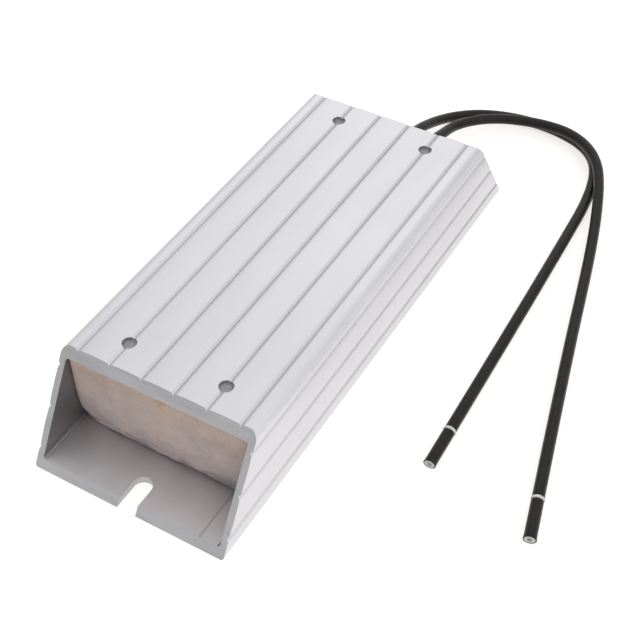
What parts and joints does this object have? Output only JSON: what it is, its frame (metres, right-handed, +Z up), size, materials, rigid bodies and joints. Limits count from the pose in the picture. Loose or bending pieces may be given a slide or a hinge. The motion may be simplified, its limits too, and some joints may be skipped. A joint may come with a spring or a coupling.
{
  "type": "braking resistor",
  "caption": "Flat aluminium-housed power resistor with a grooved profile, slanted open ends, base slots and two flexible insulated leads.",
  "frame": {"origin": "middle of the flat base face that rests on the mounting surface", "axes": "+X across the housing, +Y along the profile towards the end where the leads come out, +Z up from the base face"},
  "size_m": [0.1255, 0.2037, 0.03],
  "materials": {
    "anodised_aluminium": "satin clear anodised, with fine drawing lines along the profile",
    "cement": "matt cast cement, pinkish beige, slightly uneven",
    "sand": "tamped quartz sand",
    "mica": "pressed mica board",
    "resistance_ribbon": "rolled nickel-chromium ribbon",
    "terminal_metal": "crimped brass",
    "lead_jacket": "soft black jacket, matt"
  },
  "bodies": {
    "root": {"housing": "anodised_aluminium", "front_seal": "cement", "rear_seal": "cement", "sand_filling": "sand", "upper_mica_sheet": "mica", "lower_mica_sheet": "mica", "left_spacer_strip": "mica", "right_spacer_strip": "mica", "centre_spacer_strip": "mica", "left_former": "mica", "right_former": "mica", "left_winding": "resistance_ribbon", "right_winding": "resistance_ribbon", "bridge_strip": "resistance_ribbon", "left_terminal": "terminal_metal", "right_terminal": "terminal_metal", "left_lead": "lead_jacket", "right_lead": "lead_jacket", "left_lead_end_sleeve": "lead_jacket", "right_lead_end_sleeve": "lead_jacket"}
  },
  "joints": []
}
